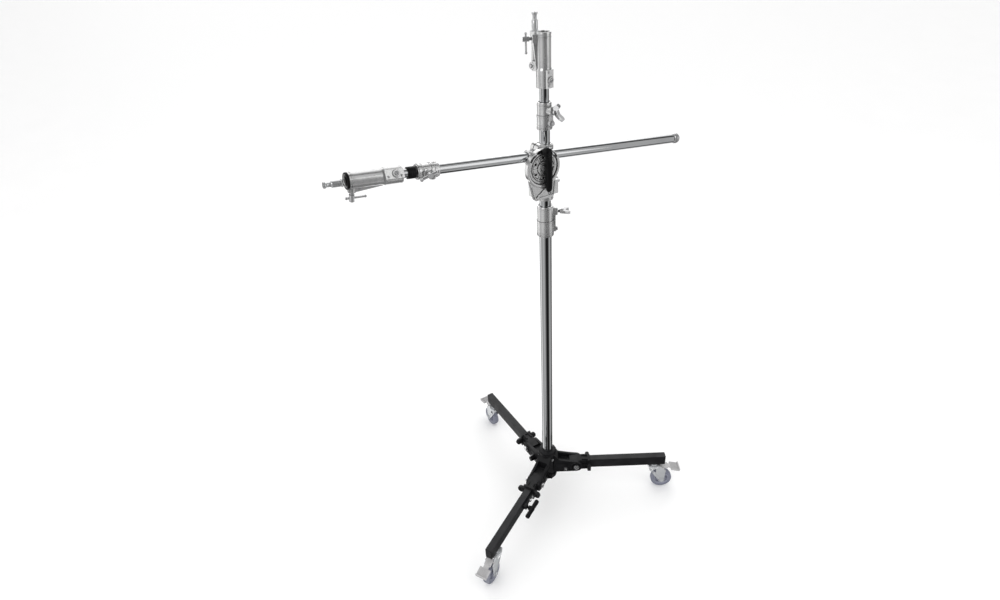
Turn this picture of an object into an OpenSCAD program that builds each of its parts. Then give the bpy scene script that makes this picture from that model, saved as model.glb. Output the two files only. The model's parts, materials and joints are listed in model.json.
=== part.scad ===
// Rolling combo boom stand: folding three-leg base with braked casters, four-section column,
// swivel head with a sliding boom, and a combo receiver on the column top and on the boom tip.
// Millimetres, +Z up. The origin is on the floor under the column; +X runs along the right leg.

/* [Node] */
// Which node to draw

/* [Base] */
// Reach of each leg tube's outer end from the column axis
leg_reach = 450; // [430:5:500]
// Height of the leg tubes' centre line above the floor
leg_z = 142; // [140:1:146]
// Width of a leg tube
leg_w = 24; // [22:1:24]
// Height of a leg tube
leg_h = 40; // [38:1:42]
// Distance of the fold hinges from the column axis
hinge_r = 108; // [106:1:108]
// Height of the top of the base casting's socket
hub_top = 218; // [210:2:230]

/* [Casters] */
// Caster wheel diameter
wheel_d = 80; // [76:1:82]
// Caster wheel width
wheel_w = 24; // [22:1:26]
// Distance the wheel trails behind its swivel axis
caster_trail = 34; // [32:1:36]

/* [Column] */
// Radius of the main tube
main_r = 19; // [19:0.5:19.5]
// Height of the top of the main collar
main_collar_top = 1219; // [1200:1:1222]
// Height of the top of the boom head
head_top = 1404; // [1402:1:1412]
// Height of the top of the upper collar
upper_collar_top = 1516; // [1505:1:1535]
// Height of the mouth of the top receiver
top_mouth_z = 1688; // [1680:1:1730]

/* [Boom] */
// Direction of the boom's rear end, counter-clockwise from +X
boom_azimuth = 31; // [20:1:40]
// Angle by which the boom's rear end drops below level
boom_tilt = 6.5; // [0:0.5:12]
// Radius of the boom tube
boom_r = 13; // [12.5:0.5:13]
// Distance from the column to the boom tube's rear end
boom_rear = 440; // [400:10:500]
// Distance from the column to the boom tube's front end
boom_front = 386; // [380:1:400]

/* [Receivers] */
// Radius of the junior socket
socket_r = 14.3; // [14.3:0.1:14.4]
// Radius of the baby pin
baby_pin_r = 7.95; // [7.9:0.05:8]
// Length of a receiver body
receiver_l = 133; // [130:1:138]

/* [Hidden] */
leg_az = [0, 120, 240];
play = 0.05;
gap = 0.5;
slot_w = leg_w + 10;
arm_w = slot_w + 16;
sleeve_w = leg_w + 9;
sleeve_h = leg_h + 6;
sleeve_out = 160;
tongue_in = 44;
knob_r = 52;
arm_bolt_r = 68;
levelling_screw_r = 220;
hub_r = 30;
hub_z = 92;
wheel_r = wheel_d / 2;
caster_r = leg_reach - 40;
caster_top = leg_z - leg_h / 2;
wall = 1.5;
riser2_r = main_r - wall - gap;
riser3_r = riser2_r - wall - gap;
riser4_r = riser3_r - wall - gap;
main_collar_h = 94;
upper_collar_h = 71;
head_bottom = main_collar_top + 22;
upper_turn = -45;
pivot_x = -56;
pivot_z = head_top - 36;
boom_y = -44;
boom_up = 24;
paddle_y = -63;
paddle_t = 10;
paddle_r = 52.5;
paddle_drop = 90;
clamp_up = 45.5;
clamp_x = -2;
saddle_r = boom_r + 5;
boom_collar_l = 57;
ext_r = 11;
ext_show = 39;
mouth_s = -boom_front - 26 - ext_show - receiver_l;
screw_turn = 55;
flip_z = -84;

black_cast = [0.06, 0.06, 0.065];
leg_paint = [0.13, 0.13, 0.14];
chrome = [0.78, 0.79, 0.8];
satin = [0.7, 0.71, 0.72];
bright = [0.86, 0.86, 0.87];
zinc = [0.85, 0.87, 0.88];
tyre_grey = [0.36, 0.38, 0.45];
pedal_grey = [0.68, 0.68, 0.68];
black_plastic = [0.03, 0.03, 0.035];

// ---------- shared shapes ----------

module tube(r, wall_t, z0, z1) {
  difference() {
    translate([0, 0, z0]) cylinder(r = r, h = z1 - z0, $fn = 96);
    translate([0, 0, z0 - 1]) cylinder(r = r - wall_t, h = z1 - z0 + 2, $fn = 96);
  }
}

module disc_y(r, y0, y1) {
  translate([0, y1, 0]) rotate([90, 0, 0]) cylinder(r = r, h = y1 - y0, $fn = 64);
}

module disc_x(r, x0, x1) {
  translate([x0, 0, 0]) rotate([0, 90, 0]) cylinder(r = r, h = x1 - x0, $fn = 64);
}

// Screw along +Z from z = 0 with a round neck and a cross bar shifted sideways
module t_screw(shaft_r, shaft_l, neck_r, neck_l, bar_r, bar_l, bar_shift) {
  cylinder(r = shaft_r, h = shaft_l, $fn = 48);
  translate([0, 0, shaft_l]) cylinder(r = neck_r, h = neck_l, $fn = 48);
  translate([0, 0, shaft_l + neck_l / 2]) {
    translate([bar_shift - bar_l / 2, 0, 0]) rotate([0, 90, 0]) cylinder(r = bar_r, h = bar_l, $fn = 32);
    translate([bar_shift - bar_l / 2, 0, 0]) sphere(r = bar_r * 1.35, $fn = 32);
    translate([bar_shift + bar_l / 2, 0, 0]) sphere(r = bar_r * 1.35, $fn = 32);
  }
}

// Hexagon-headed bolt along +Z, its head's underside at z = 0
module hex_bolt(shaft_r, shaft_l, head_r, head_h) {
  translate([0, 0, -shaft_l]) cylinder(r = shaft_r, h = shaft_l, $fn = 48);
  cylinder(r = head_r * 1.12, h = 1.2, $fn = 48);
  translate([0, 0, 1.2]) cylinder(r = head_r, h = head_h, $fn = 6);
}

// Two-tier tube collar with a screw boss towards +X
module collar(z0, h, r_low, r_high, r_out, step) {
  screw_z = z0 + h - 20;
  difference() {
    union() {
      translate([0, 0, z0]) cylinder(r = r_out, h = step, $fn = 96);
      translate([0, 0, z0 + 4]) cylinder(r = r_out + 0.8, h = 2.5, $fn = 96);
      translate([0, 0, z0 + step - 1.5]) cylinder(r = r_out + 1.2, h = 3, $fn = 96);
      translate([0, 0, z0 + step]) cylinder(r = r_out - 1, h = h - step, $fn = 96);
      translate([0, 0, screw_z]) disc_x(12, 0, r_out + 9);
      translate([0, 0, z0 + 18]) disc_x(9, 0, r_out + 6);
      translate([0, -6, z0 + 14]) cube([r_out + 5, 12, h - 32]);
    }
    translate([0, 0, z0 - 1]) cylinder(r = r_low, h = step + 1, $fn = 96);
    translate([0, 0, z0 + step - 0.5]) cylinder(r = r_high + play, h = h - step + 2, $fn = 96);
    translate([0, 0, screw_z]) disc_x(4 + play, 0, r_out + 12);
    translate([0, 0, z0 + 18]) disc_x(3, r_out + 2, r_out + 10);
  }
}

// ---------- base ----------

module arm_profile() {
  polygon([[hub_r - 8, leg_z - 24], [hinge_r, leg_z - 24], [hinge_r, leg_z + 24],
           [hinge_r - 28, leg_z + 29], [hub_r + 12, leg_z + 38], [hub_r - 8, leg_z + 66]]);
}

module arm() {
  translate([0, arm_w / 2, 0]) rotate([90, 0, 0]) linear_extrude(height = arm_w) arm_profile();
  translate([hinge_r, 0, leg_z]) disc_y(24, -arm_w / 2, arm_w / 2);
  translate([hinge_r, 0, leg_z]) disc_y(14, -arm_w / 2 - 4, arm_w / 2 + 4);
  translate([knob_r, 0, leg_z]) disc_y(11, 0, arm_w / 2 + 4);
}

module base_hub() {
  color(black_cast)
  difference() {
    union() {
      translate([0, 0, hub_z]) cylinder(r = hub_r, h = hub_top - hub_z, $fn = 96);
      translate([0, 0, hub_top - 12]) cylinder(r = hub_r + 3, h = 8, $fn = 96);
      translate([0, 0, hub_z]) cylinder(r = hub_r + 5, h = 14, $fn = 96);
      for (a = leg_az) rotate([0, 0, a]) arm();
    }
    translate([0, 0, hub_z + 8]) cylinder(r = main_r, h = hub_top, $fn = 96);
    for (a = leg_az) rotate([0, 0, a]) {
      translate([tongue_in - 4, -slot_w / 2, hub_z - 10]) cube([100, slot_w, 150]);
      translate([hinge_r, 0, leg_z]) disc_y(6 + play, -arm_w, arm_w);
      translate([knob_r, 0, leg_z]) disc_y(4 + play, 0, arm_w);
      translate([arm_bolt_r, 0, leg_z - 9]) disc_y(3, -arm_w, arm_w);
    }
  }
}

// Two short bolts through the cheeks of each arm
module arm_bolts() {
  color(satin)
  for (a = leg_az) rotate([0, 0, a]) for (s = [-1, 1]) {
    translate([arm_bolt_r, s * arm_w / 2, leg_z - 9]) rotate([-90 * s, 0, 0]) hex_bolt(3, 7, 5.5, 4);
  }
}

// Shoulder screws, two to a hinge, that leave the sleeve's bore clear for the leg tube
module leg_pivot_bolts() {
  color(satin)
  for (a = leg_az) rotate([0, 0, a]) for (s = [-1, 1]) {
    translate([hinge_r, s * (arm_w / 2 + 4), leg_z]) rotate([-90 * s, 0, 0])
      hex_bolt(6, arm_w / 2 + 4 - (leg_w / 2 + 0.6), 9, 5);
  }
}

module sleeve_ear(side) {
  translate([sleeve_out - 8, side * 32, leg_z]) rotate([0, 90, 0]) cylinder(r = 12.5, h = 8, $fn = 64);
  translate([sleeve_out - 8, min(0, side * 32), leg_z - 12.5]) cube([8, 32, 25]);
}

module sleeve_body() {
  difference() {
    union() {
      translate([hinge_r - 24, -sleeve_w / 2, leg_z - sleeve_h / 2])
        cube([sleeve_out - hinge_r + 24, sleeve_w, sleeve_h]);
      translate([tongue_in, -sleeve_w / 2, leg_z - 14]) cube([hinge_r - tongue_in, sleeve_w, 28]);
      translate([sleeve_out - 8, -sleeve_w / 2 - 4, leg_z - sleeve_h / 2 - 4])
        cube([8, sleeve_w + 8, sleeve_h + 8]);
      translate([sleeve_out - 26, -sleeve_w / 2 - 3, leg_z - 6]) cube([22, sleeve_w + 6, 12]);
      translate([sleeve_out - 30, -sleeve_w / 2 + 4, leg_z + sleeve_h / 2 - 1]) cube([26, 5, 5]);
      translate([sleeve_out - 30, sleeve_w / 2 - 9, leg_z + sleeve_h / 2 - 1]) cube([26, 5, 5]);
      for (s = [-1, 1]) sleeve_ear(s);
    }
    translate([hinge_r - 20, -leg_w / 2 - 0.25, leg_z - leg_h / 2 - 0.25])
      cube([200, leg_w + 0.5, leg_h + 0.5]);
    translate([hinge_r, 0, leg_z]) disc_y(6 + play, -arm_w, arm_w);
    for (s = [-1, 1]) translate([sleeve_out - 20, s * 34, leg_z]) disc_x(4, 0, 30);
  }
}

// The front sleeve also carries the bracket of the levelling leg's clamp screw
module levelling_bracket() {
  y0 = leg_w / 2 + 0.5;
  difference() {
    union() {
      translate([sleeve_out - 1, y0, leg_z - 9]) cube([levelling_screw_r - sleeve_out + 1, 7, 18]);
      translate([levelling_screw_r, 0, leg_z]) disc_y(11, y0, y0 + 12);
    }
    translate([levelling_screw_r, 0, leg_z]) disc_y(4 + play, 0, arm_w);
    for (x = [172, 190]) translate([x, 0, leg_z]) disc_y(2.5, 0, arm_w);
  }
}

module leg_sleeve(a) {
  color(black_cast) rotate([0, 0, a]) sleeve_body();
}

module leg_sleeve_right() { leg_sleeve(leg_az[0]); }
module leg_sleeve_rear() { leg_sleeve(leg_az[1]); }
module leg_sleeve_front() {
  leg_sleeve(leg_az[2]);
  color(black_cast) rotate([0, 0, leg_az[2]]) levelling_bracket();
}

module bracket_bolts() {
  color(bright) rotate([0, 0, leg_az[2]]) for (x = [172, 190])
    translate([x, leg_w / 2 + 7.5, leg_z]) rotate([-90, 0, 0]) hex_bolt(2.5, 6.4, 5.5, 5);
}

// Rectangular tube with a closed outer end and a hole for the caster's stem
module leg_tube(a) {
  color(leg_paint) rotate([0, 0, a]) difference() {
    translate([hinge_r - 18, -leg_w / 2, leg_z - leg_h / 2]) cube([leg_reach - hinge_r + 18, leg_w, leg_h]);
    translate([hinge_r - 19, -leg_w / 2 + 2, leg_z - leg_h / 2 + 2])
      cube([leg_reach - hinge_r + 16, leg_w - 4, leg_h - 4]);
    translate([caster_r, 0, leg_z - leg_h]) cylinder(r = 6, h = leg_h, $fn = 64);
  }
}

module leg_tube_right() { leg_tube(leg_az[0]); }
module leg_tube_rear() { leg_tube(leg_az[1]); }
module leg_tube_front() { leg_tube(leg_az[2]); }

module fold_knob(a) {
  color(black_plastic) rotate([0, 0, a]) translate([knob_r, sleeve_w / 2 + 0.8, leg_z]) rotate([-90, 0, 0]) {
    cylinder(r = 4, h = 20, $fn = 48);
    translate([0, 0, arm_w / 2 - sleeve_w / 2 + 3.6]) cylinder(r = 8, h = 5, $fn = 48);
    difference() {
      translate([0, 0, arm_w / 2 - sleeve_w / 2 + 8]) cylinder(r = 9.5, h = 12, $fn = 48);
      for (k = [0:5]) rotate([0, 0, k * 60]) translate([11, 0, 12]) cylinder(r = 3, h = 40, $fn = 32);
    }
  }
}

module fold_knob_right() { fold_knob(leg_az[0]); }
module fold_knob_rear() { fold_knob(leg_az[1]); }
module fold_knob_front() { fold_knob(leg_az[2]); }

module levelling_handle() {
  y0 = leg_w / 2 + 0.5;
  rotate([0, 0, leg_az[2]]) translate([levelling_screw_r, y0 + 0.1, leg_z]) rotate([-90, 0, 0]) {
    color(bright) cylinder(r = 4, h = 30, $fn = 48);
    color(black_plastic) translate([0, 0, 18]) cylinder(r = 7.5, h = 18, $fn = 48);
    color(black_plastic) translate([-39, 0, 33]) rotate([0, 90, 0]) cylinder(r = 7.5, h = 78, $fn = 48);
  }
}

// ---------- casters, drawn with the swivel axis on Z and the wheel trailing towards +X ----------

module at_caster(a) {
  rotate([0, 0, a]) translate([caster_r, 0, 0]) children();
}

module caster_mount(a) {
  color(zinc) at_caster(a) {
    translate([0, 0, caster_top - 6]) cylinder(r = 15, h = 6, $fn = 64);
    translate([0, 0, caster_top]) cylinder(r = 6, h = 12, $fn = 48);
    translate([0, 0, caster_top - 24]) cylinder(r = 5, h = 20, $fn = 48);
    translate([0, 0, caster_top - 26]) cylinder(r = 8, h = 3, $fn = 48);
  }
}

module caster_mount_right() { caster_mount(leg_az[0]); }
module caster_mount_rear() { caster_mount(leg_az[1]); }
module caster_mount_front() { caster_mount(leg_az[2]); }

module fork_side_profile() {
  polygon([[-20, caster_top - 9], [24, caster_top - 9], [caster_trail + 12, caster_top - 30],
           [caster_trail + 9, wheel_r - 4], [caster_trail, wheel_r - 11], [caster_trail - 8, wheel_r - 6],
           [-18, caster_top - 24]]);
}

module caster_fork(a) {
  inner = wheel_w / 2 + 2.5;
  color(zinc) at_caster(a) difference() {
    union() {
      for (y0 = [-inner - 2.5, inner]) translate([0, y0 + 2.5, 0]) rotate([90, 0, 0])
        linear_extrude(height = 2.5) fork_side_profile();
      for (s = [-1, 1]) translate([caster_trail, 0, wheel_r])
        disc_y(11, s > 0 ? inner : -inner - 3.5, s > 0 ? inner + 3.5 : -inner);
      translate([-20, -inner - 2.5, caster_top - 17]) cube([44, 2 * inner + 5, 10]);
      translate([0, 0, caster_top - 17]) cylinder(r = 22, h = 10.4, $fn = 64);
    }
    translate([0, 0, caster_top - 30]) cylinder(r = 5 + play, h = 40, $fn = 64);
    translate([0, 0, caster_top - 40]) cylinder(r = 19, h = 27, $fn = 64);
    translate([caster_trail, 0, wheel_r]) disc_y(4, -30, 30);
    translate([caster_trail + 2, 0, caster_top - 20]) disc_y(2.5 + play, -30, 30);
  }
}

module caster_fork_right() { caster_fork(leg_az[0]); }
module caster_fork_rear() { caster_fork(leg_az[1]); }
module caster_fork_front() { caster_fork(leg_az[2]); }

module caster_axle(a) {
  inner = wheel_w / 2 + 2.5;
  color(satin) at_caster(a) translate([caster_trail, 0, wheel_r]) {
    disc_y(4, -inner - 3.5, inner + 3.5);
    translate([0, inner + 3.5, 0]) rotate([-90, 0, 0]) hex_bolt(4, 1, 6.5, 3.5);
    translate([0, -inner - 3.5, 0]) rotate([90, 0, 0]) hex_bolt(4, 1, 6.5, 3.5);
  }
}

module caster_axle_right() { caster_axle(leg_az[0]); }
module caster_axle_rear() { caster_axle(leg_az[1]); }
module caster_axle_front() { caster_axle(leg_az[2]); }

module wheel_core(a) {
  w = wheel_w / 2;
  color(tyre_grey) at_caster(a) translate([caster_trail, 0, wheel_r]) rotate([90, 0, 0])
    rotate_extrude($fn = 96)
    polygon([[4 + play, -w - 1], [9, -w - 1], [10, -w + 3], [22, -w + 5], [24, -w + 2],
             [wheel_r - 11, -w + 2], [wheel_r - 11, w - 2], [24, w - 2], [22, w - 5], [10, w - 3],
             [9, w + 1], [4 + play, w + 1]]);
}

module wheel_core_right() { wheel_core(leg_az[0]); }
module wheel_core_rear() { wheel_core(leg_az[1]); }
module wheel_core_front() { wheel_core(leg_az[2]); }

module tyre(a) {
  w = wheel_w / 2;
  color(tyre_grey) at_caster(a) translate([caster_trail, 0, wheel_r]) rotate([90, 0, 0])
    rotate_extrude($fn = 96)
    polygon([[wheel_r - 11, -w + 1], [wheel_r - 9, -w], [wheel_r - 3, -w], [wheel_r - 0.8, -w + 3],
             [wheel_r, -w + 6], [wheel_r, w - 6], [wheel_r - 0.8, w - 3], [wheel_r - 3, w],
             [wheel_r - 9, w], [wheel_r - 11, w - 1]]);
}

module tyre_right() { tyre(leg_az[0]); }
module tyre_rear() { tyre(leg_az[1]); }
module tyre_front() { tyre(leg_az[2]); }

// Foot pedal on a cross pin above the wheel, its tread plate pointing outwards
module brake_pedal(a) {
  pz = caster_top - 20;
  color(pedal_grey) at_caster(a) {
    difference() {
      translate([caster_trail - 5, -11, pz - 6]) cube([26, 22, 11]);
      translate([caster_trail, 0, wheel_r]) disc_y(wheel_r + 1, -20, 20);
    }
    translate([caster_trail + 2, 0, pz]) disc_y(2.5, -wheel_w / 2 - 5, wheel_w / 2 + 5);
    translate([caster_trail + 18, -9, pz - 2]) rotate([0, 14, 0]) cube([14, 18, 5]);
    translate([caster_trail + 31, -20, pz - 6]) rotate([0, 14, 0]) cube([34, 40, 5]);
    translate([caster_trail + 60, -20, pz - 12.5]) rotate([0, 14, 0]) cube([4, 40, 10]);
  }
}

module brake_pedal_right() { brake_pedal(leg_az[0]); }
module brake_pedal_rear() { brake_pedal(leg_az[1]); }
module brake_pedal_front() { brake_pedal(leg_az[2]); }

// ---------- column ----------

module main_tube() {
  color(chrome) tube(main_r, wall, hub_z + 8, main_collar_top - 46);
}

module main_collar() {
  color(satin) collar(main_collar_top - main_collar_h, main_collar_h, main_r, riser2_r, main_r + 6,
                      main_collar_h - 46);
}

module main_collar_bolt() {
  z = main_collar_top - main_collar_h + 18;
  color(bright) translate([main_r + 12, 0, z]) rotate([0, 90, 0]) hex_bolt(3, 4, 6, 4);
}

// Clamp screw along +Z with a two-eared wing whose tips are at the height given
module wing_screw(tip) {
  cylinder(r = 4, h = tip - 25, $fn = 48);
  translate([0, 0, tip - 31]) cylinder(r1 = 7, r2 = 9, h = 10, $fn = 48);
  translate([0, 4, tip - 25]) rotate([90, 0, 0]) linear_extrude(height = 8)
    polygon([[-7, -4], [7, -4], [23, 8], [27, 17], [23, 23], [17, 22], [6, 12],
             [-6, 12], [-17, 22], [-23, 23], [-27, 17], [-23, 8]]);
}

module main_collar_handle() {
  z = main_collar_top - 20;
  color(bright) translate([riser2_r + 0.4, 0, z]) rotate([0, 90, 0]) rotate([0, 0, 80]) wing_screw(56);
}

module riser_2() {
  color(chrome) tube(riser2_r, wall, 160, head_bottom + 28);
}

module riser_3() {
  color(chrome) tube(riser3_r, wall, 190, upper_collar_top - 34);
}

module riser_4() {
  color(chrome) tube(riser4_r, wall, 220, top_mouth_z - receiver_l + 20);
}

module upper_collar() {
  color(satin) rotate([0, 0, upper_turn])
    collar(upper_collar_top - upper_collar_h, upper_collar_h, riser3_r, riser4_r, riser3_r + 6,
           upper_collar_h - 34);
}

module upper_collar_bolt() {
  z = upper_collar_top - upper_collar_h + 18;
  color(bright) rotate([0, 0, upper_turn]) translate([riser3_r + 12, 0, z]) rotate([0, 90, 0])
    hex_bolt(3, 4, 6, 4);
}

module upper_collar_handle() {
  z = upper_collar_top - 20;
  color(bright) rotate([0, 0, upper_turn]) translate([riser4_r + 0.4, 0, z]) rotate([0, 90, 0])
    rotate([0, 0, 25]) wing_screw(49);
}

// ---------- boom head, drawn with the boom along X and the open side towards -Y ----------

module at_head() {
  rotate([0, 0, boom_azimuth]) children();
}

module at_pivot() {
  at_head() translate([pivot_x, 0, pivot_z]) children();
}

module at_saddle() {
  at_pivot() rotate([0, boom_tilt, 0]) children();
}

module paddle_profile() {
  polygon([[-47, -16], [47, -16], [42, -34], [35, -paddle_drop + 3], [31, -paddle_drop],
           [-25, -paddle_drop], [-29, -paddle_drop + 4]]);
}

module head_paddle() {
  translate([0, paddle_y, 0]) rotate([90, 0, 0]) linear_extrude(height = paddle_t) paddle_profile();
  disc_y(paddle_r, paddle_y - paddle_t, paddle_y);
  difference() {
    disc_y(paddle_r, paddle_y - paddle_t - 3, paddle_y - paddle_t);
    disc_y(paddle_r - 7, paddle_y - paddle_t - 4, paddle_y - paddle_t + 1);
  }
  disc_y(18, paddle_y - paddle_t - 2.5, paddle_y - paddle_t);
}

// Arc slot that the boom clamp's screw sweeps as the boom tilts
module clamp_slot() {
  rotate([90, 0, 0]) rotate([0, 0, 28]) rotate_extrude(angle = 122, $fn = 128)
    translate([clamp_up - 4.5, -paddle_y - 2]) square([9.2, paddle_t + 8]);
}

module head_body() {
  bridge_z = pivot_z - paddle_drop + 2;
  color(satin) at_head() difference() {
    union() {
      translate([0, 0, head_bottom]) cylinder(r = 23, h = head_top - head_bottom, $fn = 96);
      translate([0, 0, head_top - 10]) cylinder(r = 24.5, h = 6, $fn = 96);
      translate([pivot_x, 0, pivot_z]) head_paddle();
      translate([pivot_x - 20, paddle_y - 1, bridge_z]) cube([-pivot_x + 20, 34, 40]);
      translate([-34, paddle_y + 20, bridge_z]) cube([44, -paddle_y - 20, 40]);
      translate([0, 0, head_bottom + 18]) disc_x(11, 0, 36);
      translate([0, 0, head_bottom + 50]) disc_x(8, 0, 30);
      translate([0, 0, head_bottom + 22]) disc_x(10, -36, 0);
    }
    translate([0, 0, head_bottom - 1]) cylinder(r = riser2_r + play, h = 30, $fn = 96);
    translate([0, 0, head_bottom]) cylinder(r = riser3_r + gap, h = 300, $fn = 96);
    translate([pivot_x, 0, pivot_z]) disc_y(6, paddle_y - 30, paddle_y + 30);
    translate([pivot_x, 0, pivot_z]) clamp_slot();
    translate([pivot_x, 0, pivot_z]) for (k = [0:5]) rotate([0, k * 60, 0]) translate([0, 0, 28])
      disc_y(3.5, paddle_y - 30, paddle_y + 1);
    translate([0, 0, head_bottom + 50]) disc_x(4 + play, 0, 60);
  }
}

module pivot_bolt() {
  color(bright) at_pivot() {
    disc_y(6, paddle_y - paddle_t - 2.5, paddle_y + 24);
    translate([0, paddle_y + 17, 0]) rotate([-90, 0, 0]) hex_bolt(6, 1, 9, 6);
    translate([0, paddle_y - paddle_t - 2.5, 0]) rotate([90, 0, 0]) hex_bolt(6, 1, 8.5, 3);
  }
}

// Split pipe clamp that grips the boom; its lower disc turns on the pivot bolt
module boom_saddle() {
  y0 = paddle_y + 1;
  color(satin) at_saddle() difference() {
    union() {
      translate([0, boom_y, boom_up]) disc_x(saddle_r, -36, 36);
      disc_y(34, y0, y0 + 14);
      translate([-28, y0, 0]) cube([56, 14, boom_up]);
      translate([clamp_x - 15, y0, boom_up]) cube([30, 32, clamp_up - boom_up]);
      translate([clamp_x, 0, clamp_up]) disc_y(15, y0, y0 + 32);
    }
    translate([0, boom_y, boom_up]) disc_x(boom_r + play, -40, 40);
    disc_y(6 + play, y0 - 5, y0 + 16);
    translate([-30, y0 + 16, -1]) cube([60, 30, 12.5]);
    translate([clamp_x, 0, clamp_up]) disc_y(4 + play, y0 - 5, y0 + 50);
    translate([-60, boom_y - 1.5, boom_up + 4]) cube([120, 3, 80]);
  }
}

module clamp_lever() {
  y0 = paddle_y - paddle_t - 14;
  at_saddle() translate([clamp_x, 0, clamp_up]) {
    color(bright) disc_y(4, y0, paddle_y + 37);
    color(bright) translate([0, paddle_y + 33.5, 0]) rotate([-90, 0, 0]) hex_bolt(4, 1, 8, 4);
    color(black_plastic) disc_y(12, y0 - 8, y0 + 6);
    color(black_plastic) rotate([0, -boom_tilt, 0]) {
      translate([-3, y0 - 9, -52]) cube([15, 13, 54]);
      translate([5, y0 - 3, 0]) rotate_extrude($fn = 64)
        polygon([[0, -112], [5.5, -111], [8, -108], [9.5, -102], [9.5, -34], [8, -30], [0, -30]]);
    }
  }
}

module riser_lock_handle() {
  color(bright) at_head() translate([riser3_r + 2.2, 0, head_bottom + 50]) rotate([0, 90, 0]) {
    cylinder(r = 4, h = 18, $fn = 48);
    translate([0, 0, 15]) cylinder(r = 7.5, h = 10, $fn = 48);
    translate([0, -16, 20]) rotate([-90, 0, 0]) cylinder(r = 4, h = 32, $fn = 32);
  }
}

// ---------- boom, drawn along X through the saddle's bore ----------

module at_boom() {
  at_saddle() translate([-pivot_x, boom_y, boom_up]) rotate([0, 90, 0]) children();
}

module boom_tube() {
  color(chrome) at_boom() tube(boom_r, wall, -boom_front, boom_rear);
}

module boom_end_cap() {
  color(bright) at_boom() {
    translate([0, 0, boom_rear - 20]) cylinder(r = boom_r - wall, h = 20, $fn = 64);
    translate([0, 0, boom_rear]) rotate_extrude($fn = 64)
      polygon([[0, 0], [9, 0], [9, 5], [12.5, 6.5], [15, 10], [15.5, 15], [14.5, 20], [11, 24.5],
               [6, 26.7], [0, 27]]);
  }
}

module boom_collar() {
  z0 = -boom_front - 26;
  color(satin) at_boom() difference() {
    union() {
      translate([0, 0, z0]) cylinder(r = boom_r + 5, h = boom_collar_l, $fn = 96);
      translate([0, 0, z0 + 3]) cylinder(r = boom_r + 6.5, h = 6, $fn = 96);
      translate([0, 0, z0 + boom_collar_l - 20]) cylinder(r = boom_r + 6, h = 4, $fn = 96);
      translate([0, 0, z0 + 20]) rotate([0, 0, -90]) disc_x(10, 0, boom_r + 11);
      translate([0, 0, z0 + 44]) disc_x(8, 0, boom_r + 9);
    }
    translate([0, 0, -boom_front]) cylinder(r = boom_r, h = boom_collar_l, $fn = 96);
    translate([0, 0, z0 - 1]) cylinder(r = ext_r + play, h = 40, $fn = 96);
    translate([0, 0, z0 + 20]) rotate([0, 0, -90]) disc_x(4 + play, 0, boom_r + 30);
  }
}

module boom_collar_handle() {
  color(bright) at_boom() translate([0, -ext_r - 0.4, -boom_front - 6]) rotate([90, 0, 0]) rotate([0, 0, 110])
    t_screw(4, 22, 6.5, 9, 3.6, 46, 0);
}

module boom_extension() {
  color(chrome) at_boom() tube(ext_r, wall, mouth_s + receiver_l - 30, -150);
}

// Stop ring on the extension, in front of the boom collar
module extension_bush() {
  color(black_plastic) at_boom() translate([0, 0, -boom_front - 50]) difference() {
    cylinder(r = 15, h = 22, $fn = 96);
    translate([0, 0, -1]) cylinder(r = ext_r, h = 24, $fn = 96);
  }
}

// ---------- combo receiver: mouth towards +Z at z = 0, flip pin on +X, clamp screw on +Y ----------

module receiver(stub_r, stub_l) {
  z0 = -receiver_l;
  difference() {
    union() {
      translate([0, 0, z0]) cylinder(r = 21, h = 44, $fn = 96);
      translate([0, 0, z0 + 44]) cylinder(r1 = 21, r2 = 19, h = 6, $fn = 96);
      translate([0, 0, z0 + 44]) cylinder(r = 19, h = receiver_l - 44, $fn = 96);
      translate([0, 0, -12]) cylinder(r = 19.8, h = 3, $fn = 96);
      rotate([0, 0, screw_turn]) {
        translate([0, -9, -27]) cube([26, 18, 24]);
        translate([0, 0, -13]) disc_x(10.5, 0, 28);
        translate([0, 7, 0]) rotate([90, 0, 0]) linear_extrude(height = 14)
          polygon([[10, -4], [27, -4], [27, -27], [20, -86], [10, -92]]);
      }
      translate([12, -8, -96]) cube([26, 16, 24]);
      translate([0, 0, flip_z]) translate([38, 0, 0]) disc_y(10, -8, 8);
      translate([-24, -11, z0]) cube([24, 22, 46]);
      translate([-27, 0, 0]) translate([0, 0, z0 + 20]) disc_x(9, 0, 20);
    }
    translate([0, 0, -100]) cylinder(r = socket_r, h = 110, $fn = 96);
    translate([0, 0, z0 - 1]) cylinder(r = stub_r, h = stub_l + 1, $fn = 96);
    translate([0, 0, -13]) rotate([0, 0, screw_turn]) disc_x(4 + play, 0, 60);
    translate([30, -4.5, -104]) cube([30, 9, 50]);
    translate([38, 0, flip_z]) disc_y(3 + play, -20, 20);
    translate([-1, -40, -60]) cube([2, 30, 70]);
  }
}

// Arm and baby pin that swing out of the way of the junior socket
module flip_pin() {
  translate([38, 0, flip_z]) disc_y(3, -11, 11);
  translate([38, -4, flip_z]) disc_y(7, 0, 8);
  translate([35.5, -4, flip_z]) cube([8, 8, -flip_z - 12]);
  translate([22.5, -8, -22]) cube([21, 16, 24]);
  translate([32, 0, 2]) cylinder(r = baby_pin_r, h = 24, $fn = 64);
  translate([32, 0, 26]) cylinder(r = 6, h = 13, $fn = 64);
  translate([32, 0, 39]) cylinder(r1 = 6, r2 = baby_pin_r, h = 1, $fn = 64);
  translate([32, 0, 40]) cylinder(r = baby_pin_r, h = 5, $fn = 64);
}

module receiver_screw() {
  rotate([0, 0, screw_turn]) translate([socket_r + 0.6, 0, -13]) rotate([0, 90, 0])
    t_screw(4, 22, 6.5, 17, 2.6, 46, 10);
}

module at_top() {
  translate([0, 0, top_mouth_z]) rotate([0, 0, 130]) children();
}

module at_boom_tip() {
  at_boom() translate([0, 0, mouth_s]) rotate([180, 0, 0]) rotate([0, 0, -65])
    children();
}

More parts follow.
